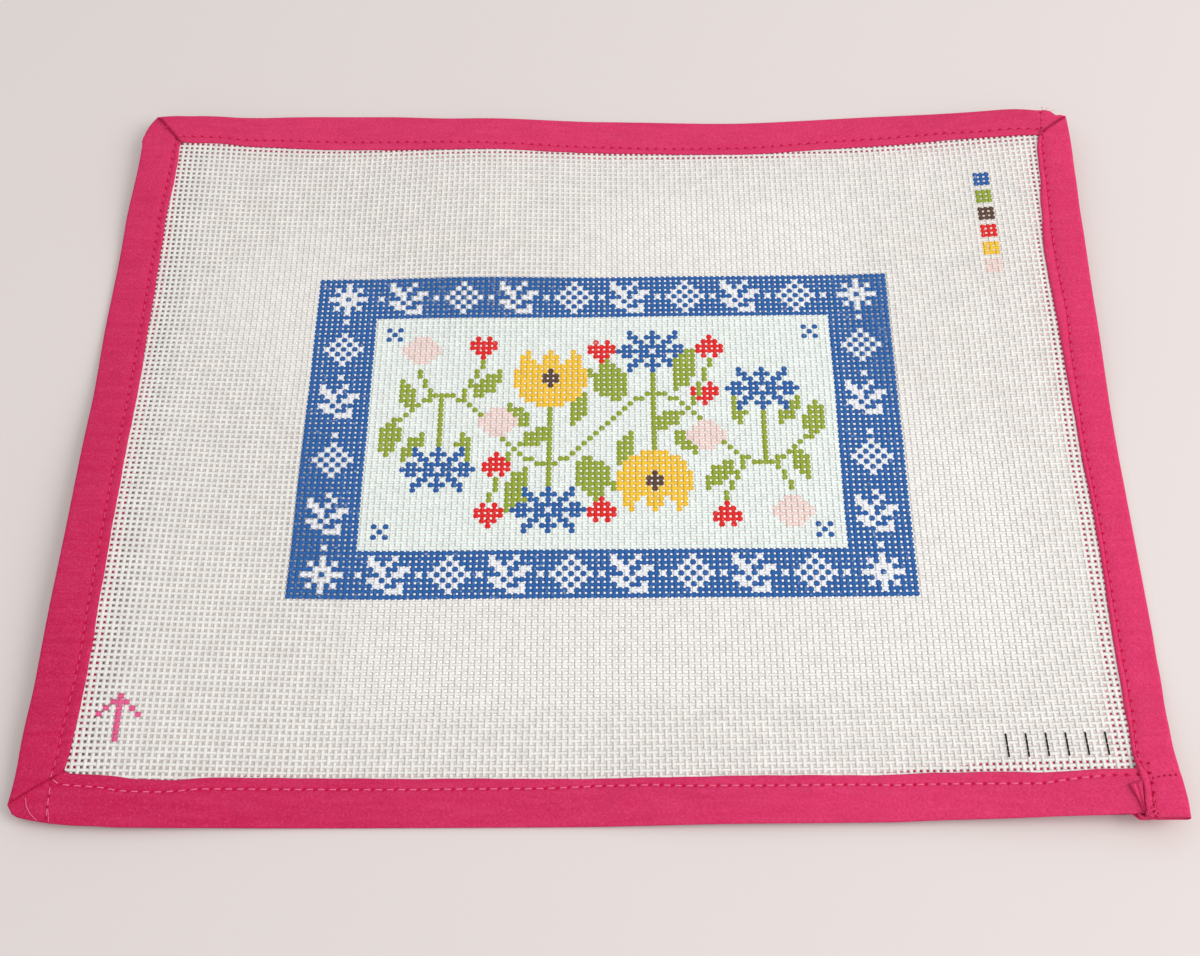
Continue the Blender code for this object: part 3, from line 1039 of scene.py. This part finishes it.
def tube(points, radius, sides=6):
    """Rings of a thin round thread along points, with a radius for each, and its faces."""
    points = np.asarray(points, dtype=float)
    ahead = np.gradient(points, axis=0)
    ahead /= np.linalg.norm(ahead, axis=1)[:, None]
    sideways = np.cross(ahead, [0.0, 0.0, 1.0])
    lengths = np.linalg.norm(sideways, axis=1)
    sideways[lengths < 0.05] = [1.0, 0.0, 0.0]
    sideways /= np.linalg.norm(sideways, axis=1)[:, None]
    upward = np.cross(sideways, ahead)
    angles = (np.arange(sides) * 2 * math.pi / sides)[None, :, None]
    rings = sideways[:, None, :] * np.cos(angles) + upward[:, None, :] * np.sin(angles)
    vertices = points[:, None, :] + rings * np.asarray(radius)[:, None, None]
    number = np.arange(len(points) * sides).reshape(len(points), sides)
    following = np.roll(number, -1, axis=1)
    faces = np.stack([number[:-1], following[:-1], following[1:], number[1:]], axis=2).reshape(-1, 4)
    return vertices.reshape(-1, 3), faces


def make_threads(name, runs, material):
    """Many short threads as one piece. Each run is a list of points and a radius. Its tips are narrowed."""
    vertices, faces, before = [], [], 0
    for points, radius in runs:
        line = np.asarray(points, dtype=float)
        first_tip = line[:1] + (line[:1] - line[1:2]) * 0.05
        last_tip = line[-1:] + (line[-1:] - line[-2:-1]) * 0.05
        line = np.concatenate([first_tip, line, last_tip])
        sizes = np.full(len(line), float(radius))
        sizes[[0, -1]] = float(radius) * 0.35
        made, sides = tube(line, sizes)
        vertices.append(made)
        faces.append(sides + before)
        before += len(made)
    return new_mesh(name, np.concatenate(vertices), np.concatenate(faces), [material])


def without_holes(piece):
    """Gives a tape-coloured piece a place away from the needle holes, for the tape's material."""
    layer = piece.data.uv_layers.new(name="stitch")
    layer.data.foreach_set("uv", np.tile([0.5, 5.0], len(layer.data)).astype(np.float32))
    return piece


def stitch_runs(strips):
    """Topstitches on the front and their undersides on the back, one from needle hole to needle hole."""
    top, under = [], []
    chance = np.random.default_rng(5)
    for side, points in zip(SIDES, strips):
        front = points[:, ROW_LINE]
        back = points[:, BACK_ROW_LINE]
        holes = range(0, len(points) - 2, 2)
        for hole in holes:
            if side.name == "near" and front[hole, 0] > 160.0:
                continue
            for line, runs, up in ((front, top, 1.0), (back, under, -1.0)):
                start, middle, end = line[hole], line[hole + 1], line[hole + 2]
                slant = chance.uniform(-0.10, 0.10)
                across = np.array([-(end - start)[1], (end - start)[0], 0.0])
                across *= slant / max(np.linalg.norm(across), 0.001)
                rounded = []
                for share, lift in STITCH_ARC:
                    place = start + (end - start) * share
                    place[2] = middle[2] + (lift if up > 0 else -0.4 * lift)
                    rounded.append(place + across * (share - 0.5) * 2)
                runs.append((rounded, TOP_STITCH if up > 0 else BOBBIN_STITCH))
    return top, under


def highest(strips, x, y):
    """Height of the binding's front at a place."""
    front = np.concatenate([points[:, 1:FOLD_LINE + 1].reshape(-1, 3) for points in strips])
    near = np.hypot(front[:, 0] - x, front[:, 1] - y)
    return float(front[near < near.min() + 0.5, 2].max())


def on_top(strips, points, lift):
    """Points laid on the binding's front, each given as x, y and, if there, a height of its own over it."""
    laid = []
    for x, y, *own in points:
        laid.append((x, y, highest(strips, x, y) + lift + sum(own)))
    return laid


def even_steps(points, step):
    """A line through the points, cut into even steps."""
    points = np.asarray(points, dtype=float)
    lengths = np.concatenate([[0.0], np.cumsum(np.linalg.norm(np.diff(points, axis=0), axis=1))])
    stops = np.linspace(0.0, lengths[-1], max(int(round(lengths[-1] / step)), 1) + 1)
    return np.stack([np.interp(stops, lengths, points[:, axis]) for axis in range(points.shape[1])], axis=1)


# Short rows sewn across the corners: the step from hole to hole, and the way they run
SHORT_ROWS = [
    (1.6, [(162.5, -126.1), (165.5, -125.5), (169.4, -125.2)]),
    (3.0, [(162.2, -121.5), (162.1, -129.5), (161.4, -136.4)]),
    (3.1, [(164.9, 131.6), (164.4, 126.0), (163.7, 121.0)]),
    (3.2, [(-161.8, -126.0), (-161.6, -135.6)]),
]

# Loose ends of sewing thread, lying on the binding: the thread's radius, then x, y and height over it
TAILS = [
    (0.13, [(-168.4, -130.0, 0.1), (-167.9, -132.2, 0.1), (-166.4, -134.6, 0.15), (-164.2, -136.4, 0.1)]),
    (0.11, [(-161.4, -133.2, 0.1), (-160.9, -135.4, 0.15), (-160.7, -136.9, 0.1)]),
    (0.22, [(159.0, -133.4, 0.5), (159.6, -135.6, 0.6), (158.8, -137.2, 0.4), (160.2, -137.9, 0.1)]),
    (0.20, [(160.6, -134.9, 0.2), (161.6, -136.6, 0.5), (160.3, -137.6, 0.4), (159.3, -136.5, 0.6),
            (160.8, -135.8, 0.5)]),
    (0.18, [(161.8, -137.7, 0.0), (160.9, -136.9, 0.5), (162.0, -136.2, 0.3), (162.4, -137.2, 0.1)]),
    (0.07, [(165.4, 132.0, 0.1), (165.7, 133.4, 0.4), (165.3, 134.4, 0.3)]),
    (0.06, [(166.4, 132.0, 0.1), (167.1, 133.2, 0.5), (168.2, 133.9, 0.2)]),
    (0.06, [(168.3, 131.6, 0.1), (169.0, 132.5, 0.3), (170.0, 132.6, 0.1)]),
    (0.07, [(-169.4, 124.4, 0.0), (-170.3, 124.9, 0.1), (-170.9, 124.4, -0.1)]),
]


def make_small_sewing(strips, sewing, tape_cloth, needle):
    """The short rows and loose ends, dark tubes of painted shade in their needle holes and along the
    mitres' folds, and a crease at the far left corner.
    """
    runs, holes = [], []
    for step, line in SHORT_ROWS:
        stops = even_steps(line, step)
        for start, end in zip(stops, stops[1:]):
            rounded = [(*(start + (end - start) * share), lift) for share, lift in SHORT_STITCH_ARC]
            runs.append((on_top(strips, rounded, 0.0), SHORT_STITCH))
        ahead = (stops[-1] - stops[0]) / np.linalg.norm(stops[-1] - stops[0]) * 0.22
        # A short dark tube of painted shade in each needle hole.
        for stop in stops:
            holes.append((on_top(strips, [stop - ahead, stop, stop + ahead], -0.14), 0.42))
    for radius, line in TAILS:
        runs.append((on_top(strips, even_steps(line, 0.5), radius), radius))
    crease = even_steps([(-161.8, 131.6), (-165.6, 129.2), (-169.8, 125.2)], 0.6)
    # Dark tubes of painted shade along the mitres' folds.
    mitres = []
    for corner in (NEAR_LEFT, FAR_LEFT, FAR_RIGHT):
        line = [corner_point(corner, inward, 15.0) for inward in np.arange(0.8, 14.2, 0.5)]
        mitres.append((on_top(strips, line, -0.12), 0.24))
    return [
        make_threads("short_rows_and_ends", runs, sewing),
        make_threads("needle_hole_shade", holes, needle),
        make_threads("mitre_fold_shade", mitres, needle),
        without_holes(make_threads("corner_crease", [(on_top(strips, crease, -0.12), 0.26)], tape_cloth)),
    ]


def make_lap_flap(strips, material):
    """The tape's turned-under end, a small fan that sticks out beside the lap, and its stub at the fold."""
    foot = np.array([158.4, -137.3])
    left, right = np.array([155.3, -127.9]), np.array([159.0, -126.7])
    across, deep = 17, 12
    base = highest(strips, 154.6, -131.0)
    pleats = [
        0.0, 0.45, 0.66, 0.74, 0.76, 0.74, 0.68, 0.55, 0.28, 0.5, 0.72, 0.84, 0.9, 0.92, 0.94, 0.96, 0.98,
    ]
    points = np.zeros((deep, across, 3))
    for row in range(deep):
        out = 0.10 + 0.90 * row / (deep - 1)
        for column in range(across):
            share = column / (across - 1)
            edge = left + (right - left) * share
            place = foot + (edge - foot) * out
            place[0] += 0.25 * math.sin(math.pi * out) * (1.0 - share)
            shut = 0.35 if row == deep - 1 else 1.0
            rise = 0.50 + pleats[column] * (0.55 + 0.45 * out) * shut
            points[row, column] = (place[0], place[1], base + rise)
    faces = grid_faces(deep, across)[:, [0, 3, 2, 1]]
    flap = new_mesh("lap_flap", points.reshape(-1, 3), faces, [material])
    thicken(flap, FLAP_THICKNESS)
    stub_line = [(156.8, -136.6, 1.1), (157.3, -137.3, 1.0), (158.2, -137.6, 1.0), (159.4, -137.5, 1.1)]
    lift = stand_off(157.0, -137.5)
    stub = make_threads("lap_stub", [([(x, y, z + lift) for x, y, z in stub_line], 0.55)], material)
    return [without_holes(flap), without_holes(stub)]


def make_ticks(material):
    """Plain pen dashes along the warp threads, one on each thread that the pen crossed."""
    dashes = []
    for column in TICKS:
        for row in range(TICK_ROWS[0], TICK_ROWS[1] + 1):
            line = [lattice(np.float64(column), row + part) for part in (-0.44, -0.22, 0.0, 0.22, 0.44)]
            lifts = np.array((-0.05, 0.01, 0.03, 0.01, -0.05)) + CRIMP + THREAD_HEIGHT / 2
            dashes.append(([(x, y, canvas_height(x, y) + lift) for (x, y), lift in zip(line, lifts)], 0.30))
    return make_threads("ink_ticks", dashes, material)


def make_floor():
    data = bpy.data.meshes.new("table_top")
    half = 1.6
    corners = [(-half, -half, 0.0), (half, -half, 0.0), (half, half, 0.0), (-half, half, 0.0)]
    data.from_pydata(corners, [], [(0, 1, 2, 3)])
    data.materials.append(table_material())
    floor = add_object("table_top", data)


make_camera()
make_light()
make_floor()

bands = make_canvas()
tape_cloth = tape_material()
sewing = twisted_material("sewing_thread", SEWING_PINK, NEAR_SEWING_PINK)
# Painted shade for the needle holes and the mitres' folds, made like a sewing thread.
needle = twisted_material("needle_hole_shade", CREVICE_SHADE_PINK)
tape, strips = make_tape(tape_cloth)
top_runs, under_runs = stitch_runs(strips)
stitches = make_threads("topstitching", top_runs, sewing)
bobbin = make_threads("bobbin_stitching", under_runs, sewing)
small_sewing = make_small_sewing(strips, sewing, tape_cloth, needle)
trims = [stitches, bobbin] + small_sewing + make_lap_flap(strips, tape_cloth)
ticks = make_ticks(twisted_material("ink", INK))

for piece in bands + [tape, ticks] + trims:
    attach(piece, "root")
for band in bands:
    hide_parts("canvas")
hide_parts("binding")
